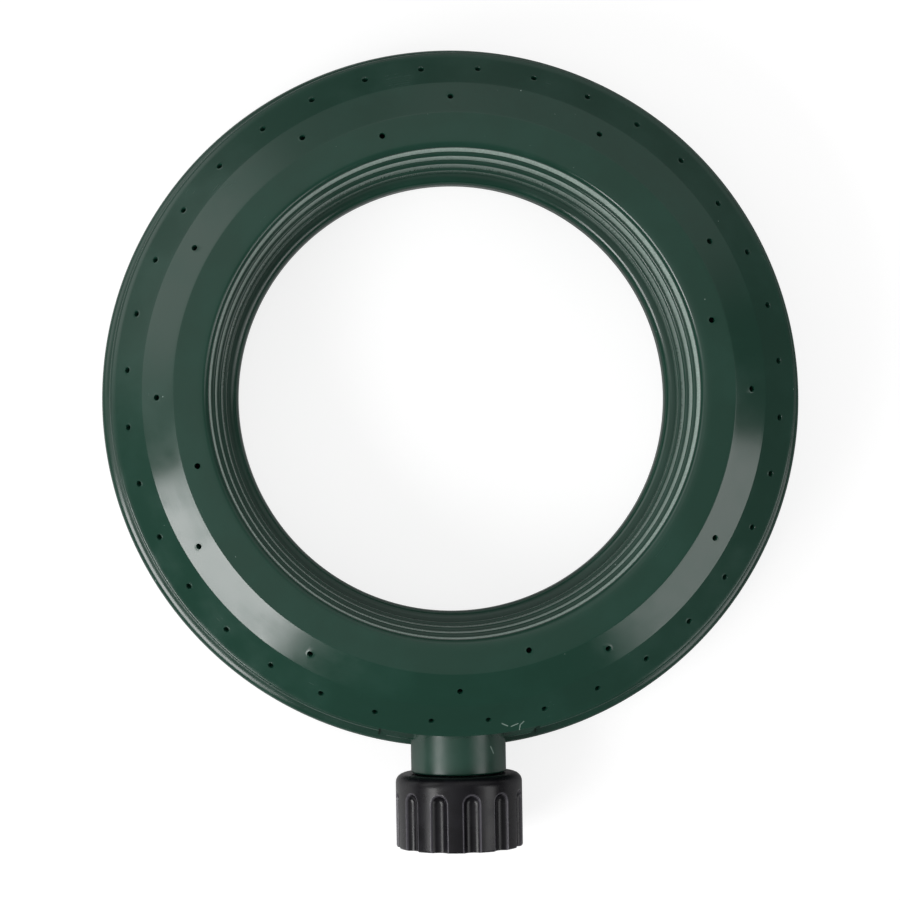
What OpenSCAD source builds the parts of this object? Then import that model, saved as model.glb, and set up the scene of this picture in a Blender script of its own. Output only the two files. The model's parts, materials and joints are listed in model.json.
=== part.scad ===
// Ring lawn sprinkler: a hollow welded ring with three circles of spray holes,
// fed through a side neck that carries a swivelling hose nut.
// +Z is up, the origin is on the ring's axis at ground level, and the hose inlet points along -Y.

/* [Ring] */
// Radius of the ring at its widest line
ring_r = 100; // [96:0.5:112]
// Height of the foot's widest line above the ground
wide_z = 11.3; // [10.5:0.1:13]
// How far the foot stands out from the outer wall
foot_out = 4.1; // [3:0.1:5]
// Height of the foot's outer shoulder above its widest line
shoulder_h = 2.8; // [2.4:0.1:3.6]
// How far the foot stands into the bore
foot_in = 2.9; // [2.4:0.1:3.4]
// Height of the foot's shoulder in the bore, above the same line
bore_shoulder_h = 3.4; // [3:0.1:4]
// Rounding of the foot's lower edges
foot_round = 8; // [6:0.1:8.5]
// Thickness of both shells
wall = 2.3; // [1.8:0.1:2.8]

/* [Spray shell] */
// How far the rim stands back from the outer wall, which shows as a second fine edge
rim_setback = 0.7; // [0.5:0.1:1]
// How far the base's top edge slopes down beside the rim
edge_drop = 0.4; // [0.2:0.1:0.6]
// Height of the rim's upright edge
rim_h = 0.7; // [0.6:0.1:1.2]
// Radial width of the outer facet
outer_w = 8.9; // [8:0.1:10]
// Rise of the outer facet
outer_h = 6.3; // [5:0.1:7]
// Radial width of the bevel facet
bevel_w = 8.85; // [8:0.05:10]
// Rise of the bevel facet
bevel_h = 4.1; // [3.4:0.1:5]
// Radial width of the top facet
top_w = 9.8; // [9:0.05:10.5]
// Rise of the top facet
top_h = 0.4; // [0:0.1:0.8]
// Rounding of the edges between the facets
facet_round = 1; // [0.6:0.1:1.6]
// Rounding of the top facet's edge at the bore
top_round = 2; // [1:0.1:2.4]
// Rounding of the rim's edge
rim_round = 0.4; // [0.2:0.1:0.5]

/* [Stepped bore] */
// Number of steps on the spray shell's bore wall
step_n = 2; // [1:1:2]
// Height of the first step below the top
first_step_h = 8.05; // [7:0.05:9]
// Height of each step below that
step_h = 7.1; // [6:0.1:7.5]
// Width of each tread
tread_w = 1.2; // [1.1:0.05:1.3]
// How far each riser leans in towards its foot
riser_lean = 0.1; // [0.05:0.05:0.2]
// Rounding of each tread's nose
nose_round = 0.9; // [0.5:0.05:1]

/* [Spray holes] */
// Diameter of a spray hole
hole_d = 1.5; // [1:0.1:2]
// Number of holes on the outer facet
outer_holes = 36; // [18:1:48]
// Number of holes on the bevel facet
bevel_holes = 12; // [6:1:24]
// Number of holes on the top facet
top_holes = 4; // [2:1:8]
// Distance of the outer circle of holes from its facet's outer edge
outer_holes_in = 4.35; // [3:0.05:5.5]
// Distance of the bevel circle of holes from its facet's outer edge
bevel_holes_in = 4.15; // [3:0.05:5.5]
// Distance of the top circle of holes from its facet's outer edge
top_holes_in = 3.9; // [2.5:0.05:5]
// Angle from the inlet to the first hole of the top circle
top_holes_turn = 15; // [0:1:45]

/* [Seams] */
// Width of the base's edge that shows as the bore's last step
lip_w = 0.85; // [0.7:0.05:1]
// Thickness of the locating skirts inside the seams
skirt_t = 1.9; // [1.4:0.1:2.2]
// Length of the inner skirt below its seam
inner_skirt_h = 4; // [3:0.1:5]
// Clearance between pieces that are welded together
weld_clear = 0.1; // [0.05:0.01:0.15]

/* [Inlet neck] */
// Outer radius of the neck
neck_r = 13.45; // [12.5:0.05:14]
// Wall of the neck
neck_wall = 2.5; // [2:0.1:3]
// How far the neck reaches past the ring's widest line
neck_reach = 6.3; // [5:0.1:12]
// How far the neck reaches into the ring from its widest line
neck_inside = 10; // [9:0.1:12]
// Thickness of the neck's end
neck_end_t = 2.5; // [2:0.1:3]
// Rounding of the neck's outer edge
neck_round = 0.5; // [0.2:0.1:0.8]
// Width of the notch in the outer wall
notch_w = 45; // [40:0.5:50]
// Height of the notch's floor above the widest line
notch_lift = 1.1; // [0.6:0.1:2]
// Gap between the saddle and each end of the notch
saddle_gap = 0.6; // [0.3:0.1:1]
// How far the saddle stands back from the foot's widest line
saddle_setback = 2.4; // [2:0.1:3]
// Height of the saddle's top above the neck's axis
saddle_rise = 4.2; // [3:0.1:6]
// Chamfer at the saddle's ends
saddle_chamfer = 1.2; // [0.6:0.1:1.6]
// How far the outer skirt laps behind the saddle
saddle_lap = 1.6; // [1:0.1:2.5]

/* [Swivel] */
// Radius of the stub that the nut turns on
stub_r = 9.9; // [9:0.05:10.4]
// Radius of the water bore through the stub
stub_bore_r = 7; // [6:0.1:7.5]
// Radius of the snap bead that keeps the nut on
bead_r = 11.5; // [11:0.05:11.8]
// Thickness of the snap bead
bead_t = 2.6; // [2:0.1:3]
// How far the bead's leading face is tapered
bead_taper = 0.9; // [0.4:0.1:1.2]
// Radial running clearance between the nut and the stub
run_clear = 0.08; // [0.04:0.01:0.1]
// End float of the nut, on each side of its back wall
end_float = 0.3; // [0.2:0.05:0.4]

/* [Coupling nut] */
// Outer radius of the nut
nut_r = 17.9; // [17.2:0.1:19]
// Length of the nut
nut_len = 20.7; // [19:0.1:24]
// Thickness of the nut's back wall
nut_back = 3.2; // [2.4:0.1:3.6]
// Rounding of the nut's shoulder
shoulder_round = 2.5; // [1.5:0.1:3]
// Rounding of the nut's mouth edge
mouth_round = 0.6; // [0.3:0.1:1]
// Radius of the hose thread's bore, at the thread's crests
thread_r = 12.25; // [12.1:0.05:12.4]
// Radius of the groove that the washer sits in
groove_r = 13; // [12.8:0.05:13.4]
// Depth of the lead-in chamfer at the mouth
mouth_chamfer = 1.3; // [0.8:0.1:1.6]
// Number of grip flutes
flute_n = 12; // [8:1:14]
// Radius of a flute's hollow
flute_round = 2.4; // [2:0.1:3]
// Depth of a flute
flute_depth = 1.8; // [1:0.1:2]
// Distance from the nut's back to the top of the flutes
flute_start = 4.6; // [4:0.1:6]
// Turn of the first flute from straight up
flute_turn = 9.5; // [0:0.5:30]
// Clearance between the nut and the ground
ground_clear = 0.4; // [0.2:0.1:2]

/* [Hose washer] */
// Thickness of the washer
washer_t = 2.8; // [2.2:0.1:3.2]
// Radius of the washer's hole
washer_hole_r = 7.6; // [7:0.1:8.5]
// Clearance between the washer and its groove
washer_clear = 0.15; // [0.1:0.05:0.2]

/* [Hidden] */
$fn = 96;
// Segments of the small flutes
flute_fn = 32;
// Segments of the foot's shoulders
shoulder_steps = 8;
// Segments in each small rounded corner of a profile
corner_steps = 4;
// How far a cutting shape runs past what it cuts
over = 1;
// Length of the drill for a spray hole
drill_h = 4 * wall;

shell_green = "#1f3d31";
nut_black = "#242427";
rubber_black = "#1b1b1c";

// Heights: the nut clears the ground, and the seam clears the cut round the top of the neck
neck_z = nut_r + ground_clear;
seam_z = neck_z + neck_r + 2 * weld_clear;
rim_z = seam_z + rim_h;
crown_z = rim_z + outer_h;
bevel_z = crown_z + bevel_h;
top_z = bevel_z + top_h;
inner_seam_z = top_z - first_step_h - step_n * step_h;

// Radii of the spray shell's edges, from the outside in
seam_r = ring_r - foot_out;
rim_r = seam_r - rim_setback;
crown_r = rim_r - outer_w;
bevel_r = crown_r - bevel_w;
top_r = bevel_r - top_w;
foot_r = top_r - step_n * (tread_w + riser_lean) - riser_lean;
inner_seam_r = foot_r - lip_w;
bore_r = inner_seam_r - foot_in;

// Base shell: its walls' faces in the channel, the start of its sloped top edge, the roof of its foot's hollow,
// and how low the walls reach into that roof
wall_in_r = seam_r - wall;
lip_in_r = inner_seam_r + wall;
edge_r = rim_r - rim_setback / 2;
hollow_z = wide_z - wall / 2;
root_z = wide_z - wall / 4;

// Skirts that slip inside the base shell's walls
skirt_r = wall_in_r - weld_clear;
skirt_inner_r = skirt_r - skirt_t;
lip_skirt_r = lip_in_r + weld_clear;
lip_skirt_outer_r = lip_skirt_r + skirt_t;

// Saddle of the neck
saddle_z = neck_z + saddle_rise;
notch_z = wide_z + notch_lift;
saddle_w = notch_w - 2 * saddle_gap;
saddle_r = ring_r - saddle_setback;
skirt_z = saddle_z - saddle_lap;
notch_back = sqrt(pow(skirt_r, 2) - pow(notch_w / 2, 2));

// Places along the neck's axis, measured from the ring's axis
neck_start_s = ring_r - neck_inside;
neck_end_s = ring_r + neck_reach;
nut_s = neck_end_s + end_float;
bead_s = nut_s + nut_back + end_float;
stub_end_s = bead_s + bead_t;
washer_s = stub_end_s + washer_clear;
groove_s = washer_s + washer_t + washer_clear;
mouth_s = nut_s + nut_len;

// Unit vector, and the normal on the left of the way from a to b
function unit(v) = v / norm(v);
function left_of(a, b) = let (u = unit(b - a)) [-u[1], u[0]];

// Corner b of the path a, b, c, moved to the left of the path by d on both sides
function inset_corner(a, b, c, d) =
    let (n = left_of(a, b), m = left_of(b, c))
    b + d * (n + m) / (1 + n * m);

// Corner b of the path a, b, c as an arc of radius r
function round_corner(a, b, c, r) =
    let (
        u = unit(a - b),
        v = unit(c - b),
        half = acos(u * v) / 2,
        centre = b + unit(u + v) * r / sin(half),
        from = b + u * r / tan(half) - centre,
        to = b + v * r / tan(half) - centre,
        start = atan2(from[1], from[0]),
        sweep = (atan2(to[1], to[0]) - start + 540) % 360 - 180
    )
    [for (i = [0 : corner_steps]) let (t = start + sweep * i / corner_steps) centre + r * [cos(t), sin(t)]];

// Outline whose corners are [x, y, radius]
function rounded(corners) =
    let (n = len(corners), at = [for (c = corners) [c[0], c[1]]])
    [for (i = [0 : n - 1])
        each corners[i][2] > 0
            ? round_corner(at[(i + n - 1) % n], at[i], at[(i + 1) % n], corners[i][2])
            : [at[i]]];

// Turns what is drawn along +Z onto the neck's axis, which runs along -Y
module along_neck() {
    translate([0, 0, neck_z])
        rotate([90, 0, 0])
            children();
}

// Edges of the facets, from the rim to the foot of the bore wall
rim_edge = [rim_r, rim_z];
crown_edge = [crown_r, crown_z];
bevel_edge = [bevel_r, bevel_z];
top_edge = [top_r, top_z];
bore_foot = [foot_r, inner_seam_z];

// Underside of the outer facet at the outer skirt
outer_slope = outer_h / outer_w;
under_rim_z = rim_z + (rim_r - skirt_inner_r) * outer_slope - wall * sqrt(1 + pow(outer_slope, 2));

// Root and nose of each step on the bore wall
step_corners = [
    for (i = [0 : step_n - 1])
        let (
            z = top_z - first_step_h - i * step_h,
            root_r = top_r - i * (tread_w + riser_lean) - riser_lean
        )
        each [[root_r, z, 0], [root_r - tread_w, z, nose_round]]
];

// Channel side of the shell, from the inner skirt back to the outer one
under_crown = inset_corner(rim_edge, crown_edge, bevel_edge, wall);
under_bevel = inset_corner(crown_edge, bevel_edge, top_edge, wall);
under_top = inset_corner(bevel_edge, top_edge, bore_foot, wall);
ledge_z = inner_seam_z + skirt_t;
wall_foot_z = ledge_z + skirt_t;
wall_foot_r = under_top[0] + (wall_foot_z - under_top[1]) * (top_r - foot_r) / (top_z - inner_seam_z);

module spray_section() {
    outside = [
        [skirt_r, skirt_z, 0],
        [skirt_r, seam_z, 0],
        [rim_r, seam_z, 0],
        [rim_edge[0], rim_edge[1], rim_round],
        [crown_edge[0], crown_edge[1], facet_round],
        [bevel_edge[0], bevel_edge[1], facet_round],
        [top_edge[0], top_edge[1], top_round]
    ];
    inside = [
        [bore_foot[0], bore_foot[1], 0],
        [lip_skirt_r, inner_seam_z, 0],
        [lip_skirt_r, inner_seam_z - inner_skirt_h, 0],
        [lip_skirt_outer_r, inner_seam_z - inner_skirt_h, 0],
        [lip_skirt_outer_r, ledge_z, 0],
        [wall_foot_r, wall_foot_z, 0],
        [under_top[0], under_top[1], 0],
        [under_bevel[0], under_bevel[1], 0],
        [under_crown[0], under_crown[1], 0],
        [skirt_inner_r, under_rim_z, 0],
        [skirt_inner_r, skirt_z, 0]
    ];
    polygon(rounded(concat(outside, step_corners, inside)));
}

// One circle of spray holes, square to the facet from edge a to edge b
module hole_circle(a, b, from_a, count, turn) {
    share = from_a / (a[0] - b[0]);
    at = a + (b - a) * share;
    tilt = atan2(b[1] - a[1], a[0] - b[0]);
    for (i = [0 : count - 1])
        rotate([0, 0, turn - 90 + i * 360 / count])
            translate([at[0], 0, at[1]])
                rotate([0, tilt, 0])
                    cylinder(d = hole_d, h = drill_h, center = true);
}

module spray_shell() {
    color(shell_green)
        difference() {
            rotate_extrude()
                spray_section();
            hole_circle(rim_edge, crown_edge, outer_holes_in, outer_holes, 180 / outer_holes);
            hole_circle(crown_edge, bevel_edge, bevel_holes_in, bevel_holes, 0);
            hole_circle(bevel_edge, top_edge, top_holes_in, top_holes, top_holes_turn);
            along_neck()
                translate([0, 0, neck_start_s - over])
                    cylinder(r = neck_r + weld_clear, h = neck_inside + 2 * over);
        }
}

// Foot of the base up to a height, inset from its faces
module foot(inset, top) {
    translate([bore_r + inset, foot_round])
        square([ring_r - bore_r - 2 * inset, top - foot_round]);
    translate([bore_r + foot_round, inset])
        square([ring_r - bore_r - 2 * foot_round, top - inset]);
    for (r = [bore_r + foot_round, ring_r - foot_round])
        intersection() {
            translate([r, foot_round])
                circle(r = foot_round - inset);
            translate([r - foot_round, 0])
                square([2 * foot_round, foot_round + over / 2]);
        }
}

// Part of an ellipse of height h between the foot's side at radius r, which is angle 0, and a wall set in by reach
function shoulder(r, reach, h, from, to) =
    [for (i = [0 : shoulder_steps])
        let (t = from + (to - from) * i / shoulder_steps)
        [r - reach * (1 - cos(t)), wide_z + h * sin(t)]];

module base_section() {
    outer_wall = [
        [seam_r, seam_z - edge_drop],
        [edge_r, seam_z],
        [wall_in_r, seam_z],
        [wall_in_r, root_z],
        [ring_r - wall / 2, root_z]
    ];
    inner_wall = [
        [bore_r + wall / 2, root_z],
        [lip_in_r, root_z],
        [lip_in_r, inner_seam_z],
        [inner_seam_r, inner_seam_z]
    ];
    difference() {
        foot(0, wide_z);
        foot(wall, hollow_z);
        translate([lip_in_r, foot_round])
            square([wall_in_r - lip_in_r, seam_z]);
    }
    polygon(concat(shoulder(ring_r, foot_out, shoulder_h, 0, 90), outer_wall));
    polygon(concat(inner_wall, shoulder(bore_r, -foot_in, bore_shoulder_h, 90, 0)));
}

module base_shell() {
    color(shell_green)
        difference() {
            rotate_extrude()
                base_section();
            translate([-notch_w / 2, -ring_r - over, notch_z])
                cube([notch_w, ring_r + over - notch_back, seam_z]);
            along_neck()
                translate([0, 0, neck_start_s])
                    cylinder(r = neck_r + weld_clear, h = neck_inside + over);
        }
}

// Block of the saddle between the skirt and its upright face
module saddle() {
    end_y = -sqrt(pow(saddle_r, 2) - pow(saddle_w / 2, 2));
    intersection() {
        rotate_extrude()
            translate([wall_in_r, notch_z + weld_clear])
                square([saddle_r - wall_in_r, saddle_z - notch_z - weld_clear]);
        linear_extrude(height = seam_z)
            for (side = [0, 1])
                mirror([side, 0])
                    polygon([
                        [-over, -neck_start_s],
                        [saddle_w / 2, neck_inside - ring_r],
                        [saddle_w / 2, end_y + saddle_chamfer],
                        [saddle_w / 2 - 2 * saddle_chamfer, end_y - saddle_chamfer],
                        [saddle_w / 2 - 2 * saddle_chamfer, -ring_r],
                        [-over, -ring_r]
                    ]);
    }
}

module inlet_neck() {
    color(shell_green)
        difference() {
            union() {
                saddle();
                along_neck()
                    rotate_extrude()
                        polygon(rounded([
                            [0, neck_start_s, 0],
                            [neck_r, neck_start_s, 0],
                            [neck_r, neck_end_s, neck_round],
                            [stub_r, neck_end_s, 0],
                            [stub_r, bead_s, 0],
                            [bead_r, bead_s, 0],
                            [bead_r, stub_end_s - bead_taper, 0],
                            [bead_r - bead_taper, stub_end_s, 0],
                            [0, stub_end_s, 0]
                        ]));
            }
            along_neck()
                translate([0, 0, neck_start_s - over])
                    cylinder(r = neck_r - neck_wall, h = neck_end_s - neck_end_t - neck_start_s + over);
            along_neck()
                translate([0, 0, neck_start_s])
                    cylinder(r = stub_bore_r, h = stub_end_s - neck_start_s + over);
        }
}

module coupling_nut() {
    hole_r = stub_r + run_clear;
    flute_axis_r = nut_r - flute_depth + flute_round;
    color(nut_black)
        difference() {
            along_neck()
                rotate_extrude()
                    polygon(rounded([
                        [hole_r, nut_s, 0],
                        [nut_r, nut_s, shoulder_round],
                        [nut_r, mouth_s, mouth_round],
                        [thread_r + mouth_chamfer, mouth_s, 0],
                        [thread_r, mouth_s - mouth_chamfer, 0],
                        [thread_r, groove_s, 0],
                        [groove_r, groove_s, 0],
                        [groove_r, nut_s + nut_back, 0],
                        [hole_r, nut_s + nut_back, 0]
                    ]));
            along_neck()
                for (i = [0 : flute_n - 1])
                    rotate([0, 0, 90 - flute_turn - i * 360 / flute_n])
                        translate([flute_axis_r, 0, nut_s + flute_start + flute_round])
                            union() {
                                sphere(r = flute_round, $fn = flute_fn);
                                cylinder(r = flute_round, h = nut_len, $fn = flute_fn);
                            }
        }
}

module hose_washer() {
    color(rubber_black)
        along_neck()
            rotate_extrude()
                translate([washer_hole_r, washer_s])
                    square([groove_r - washer_clear - washer_hole_r, washer_t]);
}

spray_shell();
base_shell();
inlet_neck();
coupling_nut();
hose_washer();
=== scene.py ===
# %% [markdown]
# # A ring sprinkler, dressed in Blender
#
# The object is a stationary lawn sprinkler: a hollow green ring that sprays through 52 small holes, with a short
# neck that carries a black hose nut. Its construction comes from CAD as a fixed frame. The CAD meshes could be
# dressed as they are, but polished plastic shows every flat and every sharp edge in its reflections. So this lesson
# turns a finer mesh for each piece in the same place, gives it its real material and lights it like a product photo.

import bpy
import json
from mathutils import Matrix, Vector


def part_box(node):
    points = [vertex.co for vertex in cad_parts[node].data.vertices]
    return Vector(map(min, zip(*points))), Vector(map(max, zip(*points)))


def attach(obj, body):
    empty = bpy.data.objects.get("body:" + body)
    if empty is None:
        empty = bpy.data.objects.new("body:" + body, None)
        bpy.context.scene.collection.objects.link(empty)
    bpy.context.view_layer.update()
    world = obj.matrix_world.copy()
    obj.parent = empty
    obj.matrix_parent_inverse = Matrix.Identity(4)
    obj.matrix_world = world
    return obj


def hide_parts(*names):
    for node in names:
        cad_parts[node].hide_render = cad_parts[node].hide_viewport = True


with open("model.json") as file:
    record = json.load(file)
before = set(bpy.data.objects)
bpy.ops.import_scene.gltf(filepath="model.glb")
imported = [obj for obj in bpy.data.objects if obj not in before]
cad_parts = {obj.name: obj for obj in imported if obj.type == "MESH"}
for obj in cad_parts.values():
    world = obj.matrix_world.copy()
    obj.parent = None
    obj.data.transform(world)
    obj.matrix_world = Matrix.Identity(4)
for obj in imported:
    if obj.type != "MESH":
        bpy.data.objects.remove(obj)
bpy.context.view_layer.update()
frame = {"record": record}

# %% [markdown]
# ## Sizes
#
# A piece that replaces a CAD node has to sit exactly where the node is, so every size that the frame can give is
# read from it. They are turned into millimetres, the unit in which a moulding is drawn.

# %% Sizes from the frame
import json
import math

import bmesh
import bpy
import numpy as np
from mathutils import Matrix, Vector

MM = 0.001


def span(node):
    """Lowest and highest corner of a CAD node in millimetres, to a hundredth."""
    return [np.round(np.array(corner) / MM, 2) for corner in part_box(node)]


_, base_high = span("base_shell")
spray_low, spray_high = span("spray_shell")
neck_low, neck_high = span("inlet_neck")
nut_low, nut_high = span("coupling_nut")
washer_low, washer_high = span("hose_washer")
inlet = next(m for m in frame["record"]["mounts"] if m["name"] == "hose_inlet")

ring_r, seam_z = base_high[0], base_high[2]
rim_r, skirt_low = spray_high[0], spray_low[2]
neck_z = round(inlet["pos_m"][2] / MM, 2)
neck_r = neck_high[2] - neck_z
neck_start, stub_end = -neck_high[1], -neck_low[1]
nut_r, nut_start, nut_end = nut_high[0], -nut_high[1], -nut_low[1]
washer_r, washer_start, washer_end = washer_high[0], -washer_high[1], -washer_low[1]
thread_r = inlet["dims"]["r_mm"]
print(f"ring {2 * ring_r} mm across, seam {seam_z} mm up, neck {2 * neck_r:.1f} mm, nut {2 * nut_r:.1f} mm")

# %% [markdown]
# ## Camera
#
# The photograph looks almost straight down on the ring from about three quarters of a metre. A camera could be
# dragged about by hand until it fits. Here its place, aim and roll come from matching the ring's circles, whose
# centres shift against each other with their height, so the picture's perspective is the photograph's own.

# %% Camera
CAMERA_AT = (-25.2, -30.7, 756.8)
CAMERA_AIM = (-0.38, -14.8, 0)
CAMERA_ROLL = -0.93
SENSOR = 36
# Focal length and picture width in pixels, which give the lens for that sensor
FOCAL_PX, PICTURE_PX = 2600, 900
LENS = FOCAL_PX / PICTURE_PX * SENSOR
CLIP_END_M = 100

camera = bpy.data.objects.new("camera", bpy.data.cameras.new("camera"))
bpy.context.scene.collection.objects.link(camera)
back = (Vector(CAMERA_AT) - Vector(CAMERA_AIM)).normalized()
right = Vector((0, 1, 0)).cross(back).normalized()
turn = Matrix((right, back.cross(right), back)).transposed().to_4x4()
roll = Matrix.Rotation(math.radians(CAMERA_ROLL), 4, "Z")
camera.matrix_world = Matrix.Translation(Vector(CAMERA_AT) * MM) @ turn @ roll
camera.data.sensor_width, camera.data.lens = SENSOR, LENS
camera.data.clip_end = CLIP_END_M
bpy.context.scene.camera = camera
bpy.context.scene.view_settings.view_transform = "Standard"
print(f"camera {CAMERA_AT[2]} mm up, lens {LENS:.0f} mm")

# %% [markdown]
# ## Nodes and colours
#
# A material in Blender is a small graph. Building one by hand in code repeats the same three moves: add a node, set
# its options, fill its sockets. One function does all three, and another turns a colour as it is read on a screen
# into the linear light that the shaders work in.

# %% Helpers for materials
def linear(text):
    """Linear colour of an sRGB hex value such as #19392e."""
    channels = [int(text[i:i + 2], 16) / 255 for i in (1, 3, 5)]
    return [c / 12.92 if c <= 0.04045 else ((c + 0.055) / 1.055) ** 2.4 for c in channels] + [1.0]


def put(tree, kind, inputs=None, **options):
    """Adds a node with its options.

    An input is a value, a socket to link, or a node whose first socket is linked.
    """
    node = tree.nodes.new("ShaderNode" + kind)
    for name, value in options.items():
        setattr(node, name, value)
    for name, value in (inputs or {}).items():
        if isinstance(value, bpy.types.Node):
            value = value.outputs[0]
        if isinstance(value, bpy.types.NodeSocket):
            tree.links.new(value, node.inputs[name])
        else:
            node.inputs[name].default_value = value
    return node


def new_tree(owner):
    """Empty node tree of a material, a lamp or the world."""
    owner.use_nodes = True
    owner.node_tree.nodes.clear()
    return owner.node_tree


print("a mid grey is", round(linear("#808080")[0], 3), "in linear light")

# %% [markdown]
# ## Floor and light
#
# A product photo of glossy dark plastic is a picture of its lights: the wide bevel of the ring shows each softbox as
# a bright arc. So the two softboxes stand where those arcs say, low on the left and on the right of the inlet. Dimmer
# cards on the left and behind lift the other facets, and a tall strip on each side draws the soft lines along the
# neck and the nut. A dim soft ceiling, brightest on the far left, veils the rest. A sky texture would light it too,
# but without the arcs.
#
# The floor is white to the lens and to reflections, and plain diffuse to the light, so that it keeps the object's
# shadow. In a reflection it darkens beside the object and on the side away from the key light, as a lit floor does.

# %% Floor
FLOOR_R = 40000
FLOOR_DROP = 0.1
FLOOR_COLOUR = "#9a9a9a"
# Glow that the lens and reflections see on top of the lit colour, which brings it to white
FLOOR_WHITE = 0.78
# How far from the object the floor darkens in a reflection, and how strongly
NEAR, SHADE = 80, 2.5
# What is left of it on the right, away from the key light, and how far out
FAR_SIDE, FALL = 0.25, 60

floor_mesh = bpy.data.meshes.new("floor")
corners = [(FLOOR_R * MM * x, FLOOR_R * MM * y, -FLOOR_DROP * MM) for x, y in ((-1, -1), (1, -1), (1, 1), (-1, 1))]
floor_mesh.from_pydata(corners, [], [(0, 1, 2, 3)])
floor = bpy.data.objects.new("floor", floor_mesh)
bpy.context.scene.collection.objects.link(floor)

paper = bpy.data.materials.new("matt_white_paper")
tree = new_tree(paper)
rays = put(tree, "LightPath").outputs
beside = put(tree, "AmbientOcclusion", {"Distance": NEAR * MM}, samples=8).outputs["AO"]
beside = put(tree, "Math", {0: beside, 1: SHADE}, operation="POWER")
across = put(tree, "SeparateXYZ", {0: put(tree, "NewGeometry").outputs["Position"]}).outputs["X"]
fall = {"From Min": -FALL * MM, "From Max": FALL * MM, "To Min": 1.0, "To Max": FAR_SIDE}
lit = put(tree, "MapRange", {"Value": across, **fall}, interpolation_type="SMOOTHSTEP")
beside = put(tree, "Math", {0: beside, 1: lit}, operation="MULTIPLY")
mirrored = put(tree, "Math", {0: rays["Is Glossy Ray"], 1: rays["Is Transmission Ray"]}, operation="MAXIMUM")
mirrored = put(tree, "Math", {0: mirrored, 1: beside}, operation="MULTIPLY")
seen = put(tree, "Math", {0: rays["Is Camera Ray"], 1: mirrored}, operation="MAXIMUM")
white = put(tree, "Math", {0: seen, 1: FLOOR_WHITE}, operation="MULTIPLY")
glow = put(tree, "Emission", {"Strength": white})
matt = put(tree, "BsdfDiffuse", {"Color": linear(FLOOR_COLOUR)})
put(tree, "OutputMaterial", {"Surface": put(tree, "AddShader", {0: matt, 1: glow})})
floor_mesh.materials.append(paper)
print("floor", 2 * FLOOR_R * MM, "m wide")

# %% Lights
LIGHT_AIM = Vector((0, 0, 30)) * MM
# Name: compass bearing from +Y in degrees, height angle, distance, width and height in mm, brightness, and the
# share of its size over which it fades at each edge
SOFTBOXES = {
    "key_softbox": (235.4, 36.5, 900, 636, 320, 10.3, 0.14),
    "fill_softbox": (119.5, 32.5, 900, 700, 340, 2.9, 0.1),
    "left_card": (298, 26, 900, 1060, 560, 1.15, 0.35),
    "far_card": (30, 36, 1000, 1600, 1200, 0.4, 0.25),
    "right_strip": (98, 47, 1000, 420, 640, 1.7, 0.4),
    "left_strip": (263, 52, 1000, 300, 600, 0.9, 0.4),
}


def compass(bearing, height_angle):
    """Direction of a compass bearing from +Y and a height angle, in degrees."""
    b, h = math.radians(bearing), math.radians(height_angle)
    return Vector((math.sin(b) * math.cos(h), math.cos(b) * math.cos(h), math.sin(h)))


def feather(lamp, share):
    """Lets a softbox fade towards its four edges, as its cloth does."""
    tree = new_tree(lamp)
    place = put(tree, "SeparateXYZ", {0: put(tree, "NewGeometry").outputs["Parametric"]}).outputs
    strength = 1.0
    for along in ("X", "Y"):
        from_end = put(tree, "Math", {0: 1.0, 1: place[along]}, operation="SUBTRACT")
        nearest = put(tree, "Math", {0: place[along], 1: from_end}, operation="MINIMUM")
        fade = put(tree, "MapRange", {"Value": nearest, "From Max": share}, interpolation_type="SMOOTHSTEP")
        strength = put(tree, "Math", {0: strength, 1: fade}, operation="MULTIPLY")
    put(tree, "OutputLight", {"Surface": put(tree, "Emission", {"Strength": strength})})


for name, (bearing, height_angle, distance, width, height, brightness, share) in SOFTBOXES.items():
    lamp = bpy.data.lights.new(name, "AREA")
    lamp.shape, lamp.size, lamp.size_y = "RECTANGLE", width * MM, height * MM
    lamp.energy = brightness * math.pi * lamp.size * lamp.size_y
    feather(lamp, share)
    box = bpy.data.objects.new(name, lamp)
    bpy.context.scene.collection.objects.link(box)
    towards = compass(bearing, height_angle)
    box.location = LIGHT_AIM + towards * distance * MM
    box.rotation_euler = towards.to_track_quat("Z", "Y").to_euler()
    box.visible_camera = False
print("lights:", ", ".join(SOFTBOXES))

# %% Room
ROOM_LIGHT, CEILING_LIGHT = 0.18, 0.55
CEILING_AT = compass(300, 55)
# Cosine of the angle from there at which the ceiling's glow ends
CEILING_EDGE = 0.5

world = bpy.data.worlds.new("studio")
bpy.context.scene.world = world
tree = new_tree(world)
towards = put(tree, "TexCoord").outputs["Generated"]
nearness = put(tree, "VectorMath", {0: towards, 1: CEILING_AT}, operation="DOT_PRODUCT").outputs["Value"]
glow = {"From Min": CEILING_EDGE, "To Min": ROOM_LIGHT, "To Max": ROOM_LIGHT + CEILING_LIGHT}
light = put(tree, "MapRange", {"Value": nearness, **glow}, interpolation_type="SMOOTHSTEP")
room = put(tree, "Background", {"Color": linear("#ffffff"), "Strength": light})
put(tree, "OutputWorld", {"Surface": room})
print("room light from", ROOM_LIGHT, "to", ROOM_LIGHT + CEILING_LIGHT)

# %% [markdown]
# ## Green polypropylene
#
# The shells and the neck are polypropylene, moulded in steel that was turned and polished on a lathe. Such a surface
# gives the eye a deep colour under a clear gloss, faint rings where the polishing stone ran, and soft clouds where
# hands have dulled it. The rings could be a bump texture alone; here they also change the roughness, because that is
# what shows them inside a highlight. The neck's mould is polished less, so the light lies softer on it.

# %% Green polypropylene: gloss
# Sizes of the patterns in mm. Real polishing rings are a few hundredths apart, and are drawn coarser to show.
RING_MARK = 0.7
CLOUD = 16
# Part of the clouds' noise over which the polish gives way to handling
CLOUD_LOW, CLOUD_HIGH = 0.42, 0.68
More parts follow.
